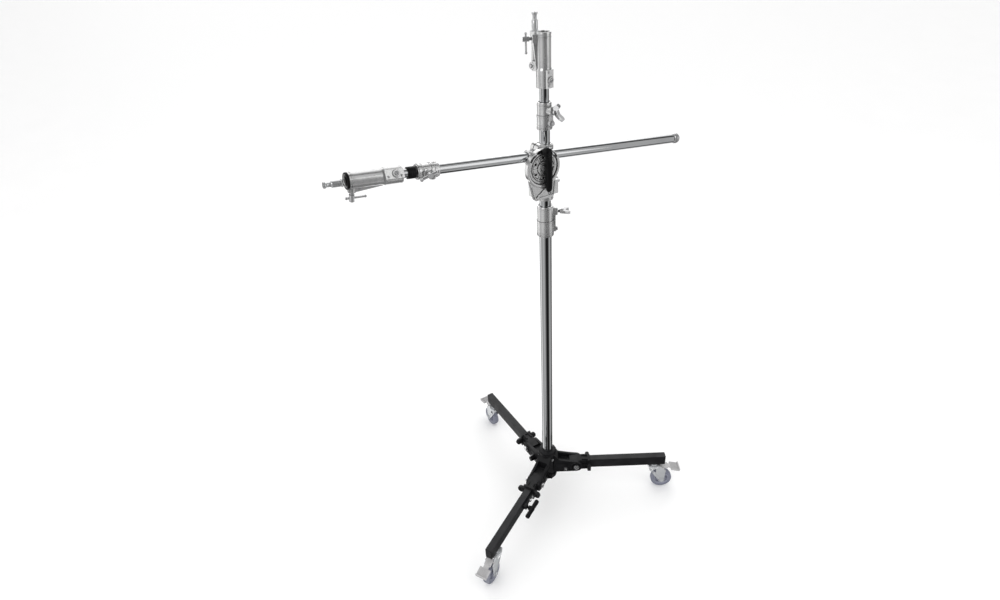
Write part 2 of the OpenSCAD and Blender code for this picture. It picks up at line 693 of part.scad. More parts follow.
module top_receiver() { color(satin) at_top() receiver(riser4_r, 20); }
module top_flip_pin() { color(bright) at_top() flip_pin(); }
module top_receiver_screw() { color(bright) at_top() receiver_screw(); }
module boom_receiver() { color(satin) at_boom_tip() receiver(ext_r, 30); }
module boom_flip_pin() { color(bright) at_boom_tip() flip_pin(); }
module boom_receiver_screw() { color(bright) at_boom_tip() receiver_screw(); }

// ---------- drawing ----------

base_hub();
arm_bolts();
leg_pivot_bolts();
main_tube();
main_collar();
main_collar_bolt();
main_collar_handle();
leg_sleeve_right();
leg_sleeve_rear();
leg_sleeve_front();
bracket_bolts();
leg_tube_right();
leg_tube_rear();
leg_tube_front();
fold_knob_right();
fold_knob_rear();
fold_knob_front();
levelling_handle();
caster_mount_right();
caster_mount_rear();
caster_mount_front();
caster_fork_right();
caster_fork_rear();
caster_fork_front();
caster_axle_right();
caster_axle_rear();
caster_axle_front();
wheel_core_right();
wheel_core_rear();
wheel_core_front();
tyre_right();
tyre_rear();
tyre_front();
brake_pedal_right();
brake_pedal_rear();
brake_pedal_front();
riser_2();
riser_3();
riser_4();
upper_collar();
upper_collar_bolt();
upper_collar_handle();
head_body();
pivot_bolt();
boom_saddle();
clamp_lever();
riser_lock_handle();
boom_tube();
boom_end_cap();
boom_collar();
boom_collar_handle();
boom_extension();
extension_bush();
top_receiver();
top_flip_pin();
top_receiver_screw();
boom_receiver();
boom_flip_pin();
boom_receiver_screw();
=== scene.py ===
"""Looks for the rolling combo boom stand: materials, rounded edges and surface detail on the CAD part."""
import json
import math

import bmesh
import bpy
from mathutils import Matrix, Vector


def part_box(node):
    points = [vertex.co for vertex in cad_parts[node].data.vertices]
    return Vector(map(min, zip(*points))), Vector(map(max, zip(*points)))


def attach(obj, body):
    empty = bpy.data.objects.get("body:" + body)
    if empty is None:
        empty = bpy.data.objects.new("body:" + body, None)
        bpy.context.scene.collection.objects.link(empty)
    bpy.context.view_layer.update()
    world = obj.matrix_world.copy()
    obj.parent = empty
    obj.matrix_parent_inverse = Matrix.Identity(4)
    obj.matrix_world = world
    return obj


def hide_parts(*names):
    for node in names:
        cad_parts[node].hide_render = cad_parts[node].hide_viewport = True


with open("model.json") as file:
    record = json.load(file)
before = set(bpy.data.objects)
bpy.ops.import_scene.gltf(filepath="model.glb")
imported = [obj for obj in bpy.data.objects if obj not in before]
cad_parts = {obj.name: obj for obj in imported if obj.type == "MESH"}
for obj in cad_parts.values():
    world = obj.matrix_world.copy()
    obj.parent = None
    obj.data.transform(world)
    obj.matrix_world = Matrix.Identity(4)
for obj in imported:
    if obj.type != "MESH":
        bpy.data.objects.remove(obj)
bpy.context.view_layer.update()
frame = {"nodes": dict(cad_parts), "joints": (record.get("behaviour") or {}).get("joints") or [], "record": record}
MM = 0.001
NODES = frame["nodes"]
RECORD = frame["record"]
JOINT = {j["name"]: j for j in frame["joints"]}
MOUNT = {m["name"]: m for m in RECORD["mounts"]}
LEGS = ("right", "rear", "front")

# ---------------------------------------------------------------- camera

# Metres, radians, and millimetres for the lens and sensor; fitted to the photograph
CAMERA_AT = (-0.1080, -1.6517, 1.9569)
CAMERA_YAW = -0.0240
CAMERA_PITCH = 0.5699
CAMERA_ROLL = -0.0577
LENS = 22.04
SENSOR = 36


def make_camera():
    """Camera at the photograph's viewpoint, looking down at the stand."""
    data = bpy.data.cameras.new("camera")
    data.sensor_width = SENSOR
    data.lens = LENS
    data.clip_start = 0.05
    cam = bpy.data.objects.new("camera", data)
    flat = math.cos(CAMERA_PITCH)
    look = Vector((math.sin(CAMERA_YAW) * flat, math.cos(CAMERA_YAW) * flat, -math.sin(CAMERA_PITCH)))
    level = Vector((math.cos(CAMERA_YAW), -math.sin(CAMERA_YAW), 0))
    above = level.cross(look)
    right = level * math.cos(CAMERA_ROLL) + above * math.sin(CAMERA_ROLL)
    up = right.cross(look)
    turn = Matrix((right, up, -look)).transposed()
    cam.matrix_world = Matrix.Translation(CAMERA_AT) @ turn.to_4x4()
    bpy.context.scene.collection.objects.link(cam)
    bpy.context.scene.camera = cam


make_camera()

# ---------------------------------------------------------------- materials


# Colour sockets of the mix node
MIX_FACTOR, MIX_A, MIX_B, MIX_RESULT = 0, 6, 7, 2


class Finish:
    """A principled material with helpers that add noise-driven colour, roughness and relief."""

    def __init__(self, name, color, roughness, metallic=0.0, **sockets):
        self.mat = bpy.data.materials.new(name)
        self.mat.use_nodes = True
        self.tree = self.mat.node_tree
        self.shader = self.tree.nodes["Principled BSDF"]
        self.color = (*color, 1)
        self.shader.inputs["Base Color"].default_value = self.color
        self.shader.inputs["Roughness"].default_value = roughness
        self.shader.inputs["Metallic"].default_value = metallic
        for key, value in sockets.items():
            self.shader.inputs[key.replace("_", " ")].default_value = value
        self.roughness = roughness
        self.normal = None
        self.coord = self.node("ShaderNodeTexCoord")
        self.tint = None

    def node(self, kind, **props):
        n = self.tree.nodes.new(kind)
        for key, value in props.items():
            setattr(n, key, value)
        return n

    def link(self, a, b):
        self.tree.links.new(a, b)

    def noise(self, scale, stretch=(1, 1, 1), detail=4, rough=0.55):
        mapping = self.node("ShaderNodeMapping")
        mapping.inputs["Scale"].default_value = stretch
        self.link(self.coord.outputs["Object"], mapping.inputs["Vector"])
        n = self.node("ShaderNodeTexNoise")
        n.inputs["Scale"].default_value = scale
        n.inputs["Detail"].default_value = detail
        n.inputs["Roughness"].default_value = rough
        self.link(mapping.outputs["Vector"], n.inputs["Vector"])
        return n.outputs["Fac"]

    def spread(self, value, low, high, out_low, out_high):
        r = self.node("ShaderNodeMapRange")
        r.inputs["From Min"].default_value = low
        r.inputs["From Max"].default_value = high
        r.inputs["To Min"].default_value = out_low
        r.inputs["To Max"].default_value = out_high
        self.link(value, r.inputs["Value"])
        return r.outputs["Result"]

    def vary_color(self, value, other, low=0.35, high=0.65):
        """Mixes towards another colour where value is high."""
        mix = self.node("ShaderNodeMix", data_type="RGBA")
        if self.tint is None:
            mix.inputs[MIX_A].default_value = self.color
        else:
            self.link(self.tint, mix.inputs[MIX_A])
        mix.inputs[MIX_B].default_value = (*other, 1)
        self.link(self.spread(value, low, high, 0, 1), mix.inputs[MIX_FACTOR])
        self.tint = mix.outputs[MIX_RESULT]
        self.link(self.tint, self.shader.inputs["Base Color"])
        return self

    def vary_roughness(self, value, low, high):
        self.link(self.spread(value, 0.3, 0.7, low, high), self.shader.inputs["Roughness"])
        return self

    def relief(self, value, height):
        bump = self.node("ShaderNodeBump")
        bump.inputs["Strength"].default_value = 1.0
        bump.inputs["Distance"].default_value = height
        self.link(value, bump.inputs["Height"])
        if self.normal is not None:
            self.link(self.normal, bump.inputs["Normal"])
        self.normal = bump.outputs["Normal"]
        self.link(self.normal, self.shader.inputs["Normal"])
        return self

    def painted_edge_highlight(self, other, low=0.53, high=0.6):
        """Painted highlight: a lighter colour on sharp outer edges, broken up by noise."""
        point = self.node("ShaderNodeNewGeometry").outputs["Pointiness"]
        mul = self.node("ShaderNodeMath", operation="MULTIPLY")
        self.link(self.spread(point, low, high, 0, 1), mul.inputs[0])
        self.link(self.spread(self.noise(160, detail=5), 0.45, 0.6, 0, 1), mul.inputs[1])
        return self.vary_color(mul.outputs[0], other, 0.0, 1.0)

    def painted_crevice_shade(self, other, reach, low=0.35, high=0.9):
        """Painted shade: a darker colour in inner corners, where less light reaches, broken up by noise."""
        nook = self.node("ShaderNodeAmbientOcclusion", samples=8)
        nook.inputs["Distance"].default_value = reach
        mul = self.node("ShaderNodeMath", operation="MULTIPLY")
        self.link(self.spread(nook.outputs["AO"], high, low, 0, 1), mul.inputs[0])
        self.link(self.spread(self.noise(90, detail=5), 0.3, 0.6, 0.5, 1), mul.inputs[1])
        return self.vary_color(mul.outputs[0], other, 0.0, 1.0)


def brushed(name, color, roughness, grain, stretch=(1, 1, 1), metallic=1.0):
    """Metal with cloudy roughness and colour, and a fine grain."""
    f = Finish(name, color, roughness, metallic)
    f.vary_roughness(f.noise(9, detail=6), roughness * 0.75, roughness * 1.35)
    f.vary_color(f.noise(14, detail=5), tuple(c * 0.86 for c in color), 0.42, 0.7)
    f.relief(f.noise(grain, stretch, detail=5), 0.00006)
    return f


def make_materials():
    """One material for each of the record's slots, and one for the floor."""
    m = {}
    f = Finish("chrome_tube", (0.80, 0.81, 0.82), 0.07, metallic=1.0)
    f.vary_roughness(f.noise(6, (1, 1, 0.15), 6), 0.05, 0.13)
    f.vary_color(f.noise(5, (1, 1, 0.3), 6), (0.70, 0.71, 0.73), 0.5, 0.75)
    f.relief(f.noise(700, (1, 1, 0.02), 3), 0.000012)
    m["chrome_tube"] = f.mat
    f = brushed("cast_alloy", (0.9, 0.9, 0.9), 0.17, 420, metallic=0.82)
    f.relief(f.noise(60, detail=3), 0.0003)
    # Painted shade darkens the casting's inner corners and crevices.
    f.painted_crevice_shade((0.05, 0.05, 0.052), 0.011)
    m["cast_alloy"] = f.mat
    f = brushed("bright_steel", (0.88, 0.88, 0.89), 0.16, 500, metallic=0.84)
    # Painted shade darkens the steel's inner corners.
    f.painted_crevice_shade((0.04, 0.04, 0.042), 0.008)
    m["bright_steel"] = f.mat
    m["pin_steel"] = brushed("pin_steel", (0.80, 0.81, 0.82), 0.18, 500, (1, 1, 0.1), 0.75).mat
    f = brushed("zinc_steel", (0.88, 0.9, 0.92), 0.24, 240, metallic=0.5)
    # Painted shade darkens the zinc plating's inner corners.
    f.painted_crevice_shade((0.1, 0.1, 0.11), 0.012)
    m["zinc_steel"] = f.mat
    f = Finish("black_cast", (0.006, 0.006, 0.007), 0.4, Specular_IOR_Level=0.35)
    f.vary_color(f.noise(22, detail=6), (0.012, 0.012, 0.0135), 0.4, 0.7)
    f.vary_roughness(f.noise(35, detail=5), 0.34, 0.55)
    f.relief(f.noise(900, detail=2), 0.00009)
    f.relief(f.noise(90, detail=3), 0.00025)
    # Painted highlight lightens the casting's sharp edges.
    f.painted_edge_highlight((0.03, 0.03, 0.032), 0.6, 0.74)
    m["black_cast"] = f.mat
    f = Finish("leg_paint", (0.010, 0.010, 0.011), 0.4, Specular_IOR_Level=0.4)
    f.vary_color(f.noise(18, detail=6), (0.018, 0.018, 0.020), 0.4, 0.7)
    f.vary_roughness(f.noise(30, detail=5), 0.32, 0.5)
    f.relief(f.noise(1100, detail=2), 0.00006)
    m["leg_paint"] = f.mat
    f = Finish("black_plastic", (0.004, 0.004, 0.0045), 0.36, Specular_IOR_Level=0.2)
    f.vary_roughness(f.noise(40, detail=5), 0.3, 0.48)
    f.vary_color(f.noise(30, detail=5), (0.008, 0.008, 0.009), 0.45, 0.7)
    f.relief(f.noise(1500, detail=2), 0.00005)
    m["black_plastic"] = f.mat
    f = Finish("pedal", (0.50, 0.495, 0.50), 0.5)
    f.vary_color(f.noise(40, detail=5), (0.42, 0.415, 0.42), 0.4, 0.7)
    f.vary_roughness(f.noise(60, detail=4), 0.42, 0.6)
    f.relief(f.noise(1300, detail=2), 0.00005)
    m["pedal"] = f.mat
    f = Finish("wheel_core", (0.30, 0.31, 0.38), 0.45)
    f.vary_color(f.noise(50, detail=5), (0.24, 0.25, 0.31), 0.4, 0.7)
    f.relief(f.noise(1200, detail=2), 0.00005)
    m["wheel_core"] = f.mat
    f = Finish("tyre", (0.19, 0.20, 0.255), 0.55)
    f.vary_color(f.noise(45, detail=6), (0.27, 0.28, 0.32), 0.45, 0.75)
    f.vary_roughness(f.noise(70, detail=4), 0.48, 0.7)
    f.relief(f.noise(800, detail=3), 0.0001)
    m["tyre"] = f.mat
    f = Finish("floor", (0.985, 0.985, 0.985), 0.6)
    f.vary_roughness(f.noise(3), 0.55, 0.65)
    m["floor"] = f.mat
    return m


MAT = make_materials()
SLOT = {s["node"]: s["material_slot"] for s in RECORD["subparts"]}

# ---------------------------------------------------------------- geometry helpers

SMOOTH_ANGLE = 35
BEVEL_ANGLE = 32
CAD_BEVEL = 0.0007
# Wider than any edge of a trim piece, in metres, so the modifier's overlap clamp sets the true width
ROUNDED = 0.5


def place(name, mesh, slot, body, matrix=Matrix.Identity(4), bevel=0.0, smooth=SMOOTH_ANGLE):
    """Links a mesh as a piece that rides on a body, with its record slot's material."""
    obj = bpy.data.objects.new(name, mesh)
    bpy.context.scene.collection.objects.link(obj)
    obj.matrix_world = matrix
    mesh.materials.clear()
    mesh.materials.append(MAT[slot])
    soften(obj, bevel, smooth)
    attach(obj, body)
    return obj


def soften(obj, bevel, smooth=SMOOTH_ANGLE):
    """Smooth shading by angle in degrees, with rounded edges if a width in metres is given."""
    for poly in obj.data.polygons:
        poly.use_smooth = True
    obj.data.set_sharp_from_angle(angle=math.radians(smooth))
    if bevel:
        mod = obj.modifiers.new("round_edges", "BEVEL")
        mod.width = bevel
        mod.segments = 2
        mod.limit_method = "ANGLE"
        mod.angle_limit = math.radians(BEVEL_ANGLE)
        mod.harden_normals = False


def from_bmesh(name, bm):
    """Mesh of a bmesh, its faces turned outwards."""
    mesh = bpy.data.meshes.new(name)
    bmesh.ops.recalc_face_normals(bm, faces=bm.faces)
    bm.to_mesh(mesh)
    bm.free()
    return mesh


def basis(origin, z, x):
    """Matrix whose Z and X follow the given directions."""
    z = Vector(z).normalized()
    x = Vector(x)
    x = (x - z * x.dot(z)).normalized()
    y = z.cross(x)
    turn = Matrix((x, y, z)).transposed().to_4x4()
    return Matrix.Translation(Vector(origin)) @ turn


for name, obj in NODES.items():
    obj.data.materials.clear()
    obj.data.materials.append(MAT[SLOT[name]])
    soften(obj, CAD_BEVEL)

# ---------------------------------------------------------------- local frames

UP = Vector((0, 0, 1))
MOUTH_ABOVE_MOUNT = 50
AXIS = {name: Vector(j["axis"]) for name, j in JOINT.items()}
AT = {name: Vector(j["pos_m"]) for name, j in JOINT.items() if "pos_m" in j}


def leg_dir(leg):
    """Unit vector along a leg, away from the column."""
    p = AT["leg_fold_" + leg]
    return Vector((p.x, p.y, 0)).normalized()


def leg_frame(leg):
    """Origin on the floor under the column, X along the leg, Z up."""
    return basis((0, 0, 0), UP, leg_dir(leg))


def caster_frame(leg):
    """Origin on the floor under the swivel axis, X along the trail, Z up."""
    p = AT["caster_swivel_" + leg]
    return basis((p.x, p.y, 0), UP, leg_dir(leg))


def wheel_frame(leg):
    """Origin at the wheel's centre, Z along the axle."""
    return basis(AT["wheel_spin_" + leg], AXIS["wheel_spin_" + leg], leg_dir(leg))


SADDLE = basis(AT["boom_tilt"], AXIS["boom_slide"].cross(AXIS["boom_tilt"]), AXIS["boom_slide"])


def receiver_frame(which):
    """Origin at the socket's mouth, Z out of it, X towards the baby pin."""
    mouth, pin = MOUNT[which + "_receiver"], MOUNT[which + "_pin"]
    z = Vector(mouth["axis"])
    origin = Vector(mouth["pos_m"]) + z * MOUTH_ABOVE_MOUNT * MM
    return basis(origin, z, Vector(pin["pos_m"]) - Vector(mouth["pos_m"]))


# ---------------------------------------------------------------- mesh makers, in millimetres


def lathe(bm, profile, segments=96, matrix=Matrix.Identity(4)):
    """Surface of revolution about Z through (radius, height) points; a radius of 0 closes an end."""
    rings = []
    for r, z in profile:
        if r <= 1e-6:
            rings.append([bm.verts.new(matrix @ (Vector((0, 0, z)) * MM))])
            continue
        ring = []
        for k in range(segments):
            a = 2 * math.pi * k / segments
            ring.append(bm.verts.new(matrix @ (Vector((r * math.cos(a), r * math.sin(a), z)) * MM)))
        rings.append(ring)
    for low, high in zip(rings, rings[1:]):
        for k in range(segments):
            n = (k + 1) % segments
            if len(low) == 1 and len(high) == 1:
                continue
            if len(low) == 1:
                bm.faces.new((low[0], high[n], high[k]))
            elif len(high) == 1:
                bm.faces.new((low[k], low[n], high[0]))
            else:
                bm.faces.new((low[k], low[n], high[n], high[k]))


def ring(bm, profile, segments=96, matrix=Matrix.Identity(4)):
    """Closed ring of revolution: the profile's last point joins its first."""
    lathe(bm, list(profile) + [profile[0]], segments, matrix)


def arc(bm, profile, start, end, matrix=Matrix.Identity(4), steps=72):
    """Part of a ring of revolution about Z between two angles in degrees, closed at both ends."""
    loops = []
    for k in range(steps + 1):
        a = math.radians(start + (end - start) * k / steps)
        points = [Vector((r * math.cos(a), r * math.sin(a), z)) * MM for r, z in profile]
        loops.append([bm.verts.new(matrix @ p) for p in points])
    count = len(profile)
    for low, high in zip(loops, loops[1:]):
        for k in range(count):
            n = (k + 1) % count
            bm.faces.new((low[k], low[n], high[n], high[k]))
    bm.faces.new(loops[0][::-1])
    bm.faces.new(loops[-1])


def box(bm, low, high, matrix=Matrix.Identity(4)):
    """Box between two opposite corners."""
    corners = [(x, y, z) for x in (low[0], high[0]) for y in (low[1], high[1]) for z in (low[2], high[2])]
    v = [bm.verts.new(matrix @ (Vector(c) * MM)) for c in corners]
    for f in ((0, 1, 3, 2), (4, 6, 7, 5), (0, 4, 5, 1), (2, 3, 7, 6), (0, 2, 6, 4), (1, 5, 7, 3)):
        bm.faces.new([v[i] for i in f])


def prism(bm, outline, low, high, matrix=Matrix.Identity(4)):
    """Outline of (x, y) points carried from height low to high."""
    a = [bm.verts.new(matrix @ (Vector((x, y, low)) * MM)) for x, y in outline]
    b = [bm.verts.new(matrix @ (Vector((x, y, high)) * MM)) for x, y in outline]
    bm.faces.new(a[::-1])
    bm.faces.new(b)
    for k in range(len(a)):
        n = (k + 1) % len(a)
        bm.faces.new((a[k], a[n], b[n], b[k]))


def make(name, slot, body, build, matrix=Matrix.Identity(4), bevel=0.0, smooth=SMOOTH_ANGLE, stands_for=()):
    """Builds one piece with build(bm) in a local frame and lets it ride on a body."""
    bm = bmesh.new()
    build(bm)
    bmesh.ops.remove_doubles(bm, verts=bm.verts, dist=1e-7)
    obj = place(name, from_bmesh(name, bm), slot, body, matrix, bevel, smooth)
    if stands_for:
        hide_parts(*stands_for)
    return obj


SQUARENESS = 0.7


def loft(bm, stations, sides=20, matrix=Matrix.Identity(4)):
    """Rounded bar along Z, closed at both ends.

    Each station is (z, x centre, y centre, half width, half depth).
    """
    rings = []
    for z, cx, cy, hw, hd in stations:
        loop = []
        for k in range(sides):
            a = 2 * math.pi * k / sides
            c, s = math.cos(a), math.sin(a)
            x = cx + hw * math.copysign(abs(c) ** SQUARENESS, c)
            y = cy + hd * math.copysign(abs(s) ** SQUARENESS, s)
            loop.append(bm.verts.new(matrix @ (Vector((x, y, z)) * MM)))
        rings.append(loop)
    for low, high in zip(rings, rings[1:]):
        for k in range(sides):
            n = (k + 1) % sides
            bm.faces.new((low[k], low[n], high[n], high[k]))
    bm.faces.new(rings[0][::-1])
    bm.faces.new(rings[-1])


HEAD_SIDES = 40


def cap_screw(bm, radius, height, matrix):
    """Cap screw head with a tapered round recess, standing on the local XY plane."""
    recess = radius * 0.62
    profile = [(0, 0), (radius, 0), (radius, height - 0.6), (radius - 0.6, height), (recess, height)]
    lathe(bm, profile, HEAD_SIDES, matrix)
    turns = [2 * math.pi * k / HEAD_SIDES for k in range(HEAD_SIDES)]
    rim = [(recess * math.cos(a), recess * math.sin(a)) for a in turns]
    deep = [bm.verts.new(matrix @ (Vector((x * 0.8, y * 0.8, height - 2.2)) * MM)) for x, y in rim]
    top = [bm.verts.new(matrix @ (Vector((x, y, height)) * MM)) for x, y in rim]
    for k in range(HEAD_SIDES):
        n = (k + 1) % HEAD_SIDES
        bm.faces.new((top[k], top[n], deep[n], deep[k]))
    bm.faces.new(deep)


def turned(z_axis, x_axis, at=(0, 0, 0)):
    """Local placement inside a frame: Z along z_axis at a point given in millimetres."""
    return basis(Vector(at) * MM, z_axis, x_axis)


def sideways(side, at=(0, 0, 0)):
    """Local placement that looks along +Y (side 1) or -Y (side -1), with X kept."""
    return turned((0, side, 0), (1, 0, 0), at)


def spin(degrees):
    return Matrix.Rotation(math.radians(degrees), 4, "Z")


def shift(x, y):
    """Move in the local XY plane, in millimetres."""
    return Matrix.Translation((x * MM, y * MM, 0))


def side_relief(bm, side, y, outline, low, high):
    """Raised shape on the face that looks along +Y or -Y at a distance y, outlined by (x, z) points."""
    prism(bm, [(x, -side * z) for x, z in outline], low, high, sideways(side, (0, side * y, 0)))


def strip(x0, x1, z0, z1):
    """Rectangular outline."""
    return [(x0, z0), (x1, z0), (x1, z1), (x0, z1)]


# ---------------------------------------------------------------- casters

WHEEL_R = AT["wheel_spin_right"].z / MM
TYRE_W = (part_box("tyre_right")[1][1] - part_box("tyre_right")[0][1]) / MM / 2
RIM_R = WHEEL_R - 11
TRAIL = (AT["wheel_spin_right"] - AT["caster_swivel_right"]).xy.length / MM
FORK_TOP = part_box("caster_fork_right")[1][2] / MM
# Outer face of a fork cheek: half the tyre, the gap beside it and the cheek's plate
CHEEK_Y = TYRE_W + 2.5 + 2.5
PEDAL_TILT = 14


def build_tyre(bm):
    """Rounded tread with a centre groove and a moulded line on each side wall."""
    w, r = TYRE_W, WHEEL_R
    half = [(RIM_R, w - 1), (r - 9, w), (r - 6.5, w), (r - 6, w - 0.6), (r - 5.2, w - 0.6), (r - 4.7, w),
            (r - 3.4, w - 0.2), (r - 1.4, w - 1.6), (r - 0.4, w - 4), (r, w - 7), (r, 1.6), (r - 0.8, 1.2)]
    ring(bm, [(x, -z) for x, z in half] + half[::-1], 128)


def build_core(bm):
    """Wheel disc with a hub, a rim and six ribs on each face."""
    w = TYRE_W
    half = [(4.1, w + 1), (8, w + 1), (9, w), (10, 4), (23, 3.4), (24.5, w - 2.5), (26, w - 1.6),
            (RIM_R, w - 1.6)]
    ring(bm, [(x, -z) for x, z in half] + half[::-1], 96)
    for k in range(6):
        for side in (-1, 1):
            low, high = sorted((side * 3.5, side * (w - 3)))
            box(bm, (9, -1.3, low), (24.6, 1.3, high), spin(60 * k))


def build_race(bm):
    """Skirt of the swivel race under the fork's top."""
    t = FORK_TOP
    ring(bm, [(15.6, t - 0.2), (22.6, t - 0.6), (23.2, t - 2), (23.2, t - 8), (22.4, t - 9), (21.5, t - 9),
              (21.5, t - 2.4), (15.6, t - 1.6)], 72)


def build_fork_trim(bm):
    """Pressed ribs and rivets on the fork's two cheeks."""
    rib = [(-13, FORK_TOP - 14), (-10, FORK_TOP - 14), (TRAIL - 4, WHEEL_R + 9), (TRAIL - 7, WHEEL_R + 9)]
    for side in (-1, 1):
        side_relief(bm, side, CHEEK_Y, rib, -0.4, 1.1)
        for x in (-10, 16):
            at = sideways(side, (0, side * CHEEK_Y, 0)) @ shift(x, -side * (FORK_TOP - 11))
            lathe(bm, [(0, 1.6), (1.6, 1.4), (2.6, 0.8), (3, 0), (0, -0.4)], 32, at)


def build_pedal_trim(bm):
    """Raised tread bars on the pedal's foot plate."""
    at = Matrix.Translation(Vector((TRAIL + 31, 0, FORK_TOP - 18.6)) * MM)
    tilt = at @ Matrix.Rotation(math.radians(PEDAL_TILT), 4, "Y")
    for k in range(7):
        x = 2.5 + 4.6 * k
        box(bm, (x, -17, 3.5), (x + 2, 17, 6), tilt)


for leg in LEGS:
    wheel, caster = wheel_frame(leg), caster_frame(leg)
    make("tyre_tread_" + leg, "tyre", "wheel_" + leg, build_tyre, wheel, smooth=40, stands_for=("tyre_" + leg,))
    make("wheel_disc_" + leg, "wheel_core", "wheel_" + leg, build_core, wheel, ROUNDED,
         stands_for=("wheel_core_" + leg,))
    make("swivel_race_" + leg, "zinc_steel", "caster_" + leg, build_race, caster)
    make("fork_trim_" + leg, "zinc_steel", "caster_" + leg, build_fork_trim, caster, ROUNDED)
    make("pedal_bars_" + leg, "pedal", "brake_pedal_" + leg, build_pedal_trim, caster, ROUNDED)


# ---------------------------------------------------------------- folding base

LEG_Z = AT["leg_fold_right"].z / MM
HINGE_R = AT["leg_fold_right"].xy.length / MM
LEG_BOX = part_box("leg_tube_right")
LEG_W = (LEG_BOX[1][1] - LEG_BOX[0][1]) / MM / 2
LEG_H = (LEG_BOX[1][2] - LEG_BOX[0][2]) / MM / 2
LEG_END = LEG_BOX[1][0] / MM
HUB_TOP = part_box("base_hub")[1][2] / MM
SLEEVE_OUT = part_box("leg_sleeve_right")[1][0] / MM
ARM_HALF = LEG_W + 13
LOBE_Y = 32
FLANGE_T = 8


def build_arm_trim(bm):
    """Cast ribs, recess rings and a parting line on one arm of the base casting."""
    web = [(75, LEG_Z - 18), (78, LEG_Z - 18), (84, LEG_Z + 17), (81, LEG_Z + 17)]
    for side in (-1, 1):
        for z0, z1 in ((LEG_Z + 17, LEG_Z + 20), (LEG_Z - 21, LEG_Z - 18)):
            side_relief(bm, side, ARM_HALF, strip(34, HINGE_R - 18, z0, z1), -0.5, 1.6)
        side_relief(bm, side, ARM_HALF, web, -0.5, 1.3)
        boss = sideways(side, (0, side * ARM_HALF, 0)) @ shift(HINGE_R, -side * LEG_Z)
        ring(bm, [(16.5, -0.5), (16.5, 1.2), (18, 1.8), (21, 1.8), (22.2, 1.0), (22.2, -0.5)], 64, boss)
    for y in (-ARM_HALF + 1.5, ARM_HALF - 5.5):
        box(bm, (44, y, LEG_Z + 27), (70, y + 4, LEG_Z + 31.5))


def between_arms(radius):
    """Placements round the socket, between the arms, that look outwards at a radius."""
    for k in range(len(LEGS)):
        a = math.radians(60 + 120 * k)
        out = (math.cos(a), math.sin(a), 0)
        yield turned(out, (0, 0, 1), (radius * out[0], radius * out[1], HUB_TOP - 32))


def build_socket_trim(bm):
    """Rolled lip, band and set screw bosses round the base casting's socket."""
    ring(bm, [(19.2, HUB_TOP - 3), (19.2, HUB_TOP + 1.2), (21, HUB_TOP + 1.8), (28, HUB_TOP + 1.8),
              (30.4, HUB_TOP + 0.6), (31.4, HUB_TOP - 1.5), (29, HUB_TOP - 3)], 96)
    ring(bm, [(29.5, HUB_TOP - 22), (31.6, HUB_TOP - 21), (32.2, HUB_TOP - 18.5), (31.6, HUB_TOP - 16),
              (29.5, HUB_TOP - 15)], 96)
    for at in between_arms(29.4):
        lathe(bm, [(0, 0), (7.5, 0), (7.5, 2.6), (6.8, 3.2), (0, 3.2)], 40, at)


def build_set_screws(bm):
    """Three screws that hold the column in the socket."""
    for at in between_arms(32.4):
        cap_screw(bm, 4.2, 3, at)


def build_sleeve_trim(bm):
    """Lobes' rims, flange rim and stiffening ribs on one leg sleeve."""
    for side in (-1, 1):
        lobe = turned((1, 0, 0), (0, 1, 0), (SLEEVE_OUT, side * LOBE_Y, LEG_Z))
        ring(bm, [(6, -0.5), (6, 1.4), (7, 2), (10.4, 2), (11.4, 1.2), (11.4, -0.5)], 48, lobe)
        back = turned((-1, 0, 0), (0, 1, 0), (SLEEVE_OUT - FLANGE_T, side * LOBE_Y, LEG_Z))
        ring(bm, [(6, -0.5), (6, 2.4), (7, 3), (10.4, 3), (11.4, 2.2), (11.4, -0.5)], 48, back)
        for z0 in (LEG_Z + 13, LEG_Z - 16):
            side_relief(bm, side, LEG_W + 4.5, strip(HINGE_R + 33, 152.5, z0, z0 + 3), -0.5, 1.8)
    w, h = LEG_W + 0.35, LEG_H + 0.35
    rim = (((-w - 3, h), (w + 3, h + 3)), ((-w - 3, -h - 3), (w + 3, -h)), ((-w - 3, -h), (-w, h)),
           ((w, -h), (w + 3, h)))
    for low, high in rim:
        box(bm, (SLEEVE_OUT - 1, low[0], LEG_Z + low[1]), (SLEEVE_OUT + 2.5, high[0], LEG_Z + high[1]))


def build_leg_trim(bm):
    """End plug in a leg tube's outer end and the caster's stem washer below it."""
    w, h = LEG_W, LEG_H
    box(bm, (LEG_END - 0.5, -w + 1.6, LEG_Z - h + 1.6), (LEG_END + 1.2, w - 1.6, LEG_Z + h - 1.6))
    stem = Vector((AT["caster_swivel_right"].xy.length / MM, 0, LEG_Z - h))
    ring(bm, [(6.2, 0.2), (11.8, 0.2), (11.8, -1.6), (6.2, -1.6)], 48, Matrix.Translation(stem * MM))


def build_grip(bm):
    """Moulded T-grip of the levelling clamp, along local X, with flats and rounded ends."""
    along = turned((1, 0, 0), (0, 0, 1))
    half = [(9, 0, 0, 6.6, 7.4), (20, 0, 0, 7.2, 7.6), (36, 0, 0, 7.6, 7.6), (39, 0, 0, 6.4, 6.4),
            (39.5, 0, 0, 4, 4)]
    loft(bm, [(-z, *rest) for z, *rest in half[::-1]] + [(0, 0, 0, 8, 8.2)] + half, 28, along)
    for x in (-31, -26.5, 26.5, 31):
        ring(bm, [(7.2, x - 0.9), (8.2, x - 0.7), (8.2, x + 0.7), (7.2, x + 0.9)], 40, along)
    lathe(bm, [(0, 2), (8.6, 2), (8.6, -12), (7.4, -14), (6.6, -15.5), (0, -15.5)], 48, sideways(1))


